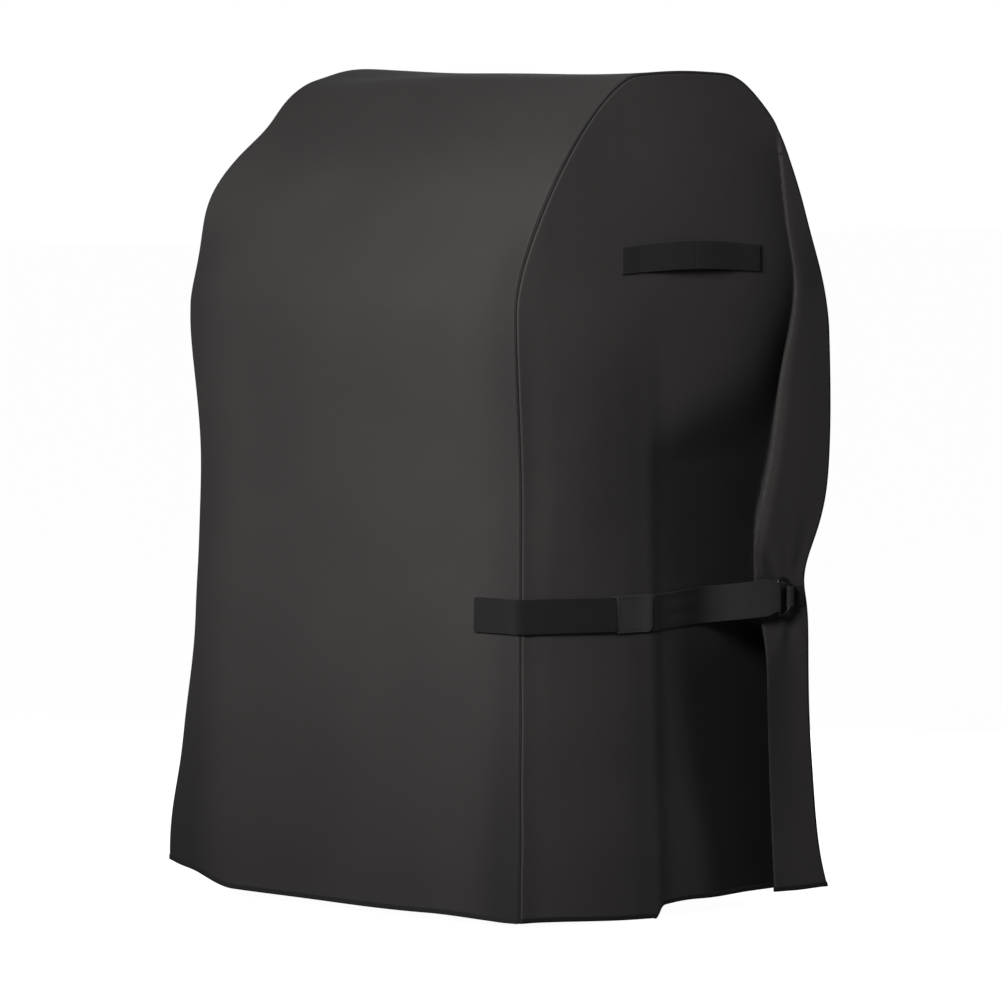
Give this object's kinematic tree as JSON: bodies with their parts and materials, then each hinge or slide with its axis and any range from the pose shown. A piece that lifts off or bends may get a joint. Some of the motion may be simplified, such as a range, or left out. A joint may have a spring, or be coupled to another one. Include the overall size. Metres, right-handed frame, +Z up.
{
  "type": "grill cover",
  "caption": "Fitted fabric cover for a small cart grill, with an arched top, a webbing handle on each side and side straps that close with hook and loop.",
  "frame": {"origin": "middle of the cover's footprint, on the floor that its hem stands on", "axes": "+Z up, -Y out of the front, +X towards the cover's right side"},
  "size_m": [0.7388, 0.562, 1.118],
  "materials": {
    "cover_cloth": "matte",
    "strap_cloth": "matte",
    "binding_tape": "matte",
    "webbing": "matte",
    "hook_tape": "matte",
    "loop_tape": "matte",
    "ring_plastic": "satin"
  },
  "bodies": {
    "cover": {"main_panel": "cover_cloth", "front_hem_binding": "binding_tape", "back_hem_binding": "binding_tape", "right_side_panel": "cover_cloth", "right_seam_tape": "binding_tape", "right_hem_binding": "binding_tape", "right_handle_front_end": "webbing", "right_handle_rear_end": "webbing", "right_handle_backing": "cover_cloth", "right_loop_patch": "loop_tape", "right_ring_tab": "strap_cloth", "right_ring_anchor": "cover_cloth", "left_side_panel": "cover_cloth", "left_seam_tape": "binding_tape", "left_hem_binding": "binding_tape", "left_handle_front_end": "webbing", "left_handle_rear_end": "webbing", "left_handle_backing": "cover_cloth", "left_loop_patch": "loop_tape", "left_ring_tab": "strap_cloth", "left_ring_anchor": "cover_cloth"},
    "right_handle": {"right_handle_grip": "webbing"},
    "right_ring": {"right_slot_ring": "ring_plastic"},
    "right_strap": {"right_strap": "strap_cloth"},
    "right_tab": {"right_hook_tab": "hook_tape"},
    "left_handle": {"left_handle_grip": "webbing"},
    "left_ring": {"left_slot_ring": "ring_plastic"},
    "left_strap": {"left_strap": "strap_cloth"},
    "left_tab": {"left_hook_tab": "hook_tape"}
  },
  "joints": [
    {"name": "right_handle_tip", "type": "hinge", "parent": "cover", "child": "right_handle", "pos_m": [0.3437, 0.0465, 0.874], "axis": [0, 1, 0], "range_deg": [-30, 30]},
    {"name": "right_ring_pivot", "type": "hinge", "parent": "cover", "child": "right_ring", "pos_m": [0.3505, 0.213, 0.413], "axis": [0, 0, 1], "range_deg": [0, 30]},
    {"name": "right_strap_swing", "type": "hinge", "parent": "right_ring", "child": "right_strap", "pos_m": [0.3505, 0.192, 0.413], "axis": [0, 0, 1], "range_deg": [0, 80]},
    {"name": "right_tab_peel", "type": "hinge", "parent": "right_strap", "child": "right_tab", "pos_m": [0.347, -0.07875, 0.403], "axis": [0, 0, 1], "range_deg": [0, 110]},
    {"name": "left_handle_tip", "type": "hinge", "parent": "cover", "child": "left_handle", "pos_m": [-0.3437, 0.0465, 0.874], "axis": [0, -1, 0], "range_deg": [-30, 30]},
    {"name": "left_ring_pivot", "type": "hinge", "parent": "cover", "child": "left_ring", "pos_m": [-0.3505, 0.213, 0.413], "axis": [0, 0, -1], "range_deg": [0, 30]},
    {"name": "left_strap_swing", "type": "hinge", "parent": "left_ring", "child": "left_strap", "pos_m": [-0.3505, 0.192, 0.413], "axis": [0, 0, -1], "range_deg": [0, 80]},
    {"name": "left_tab_peel", "type": "hinge", "parent": "left_strap", "child": "left_tab", "pos_m": [-0.347, -0.07875, 0.403], "axis": [0, 0, -1], "range_deg": [0, 110]}
  ]
}
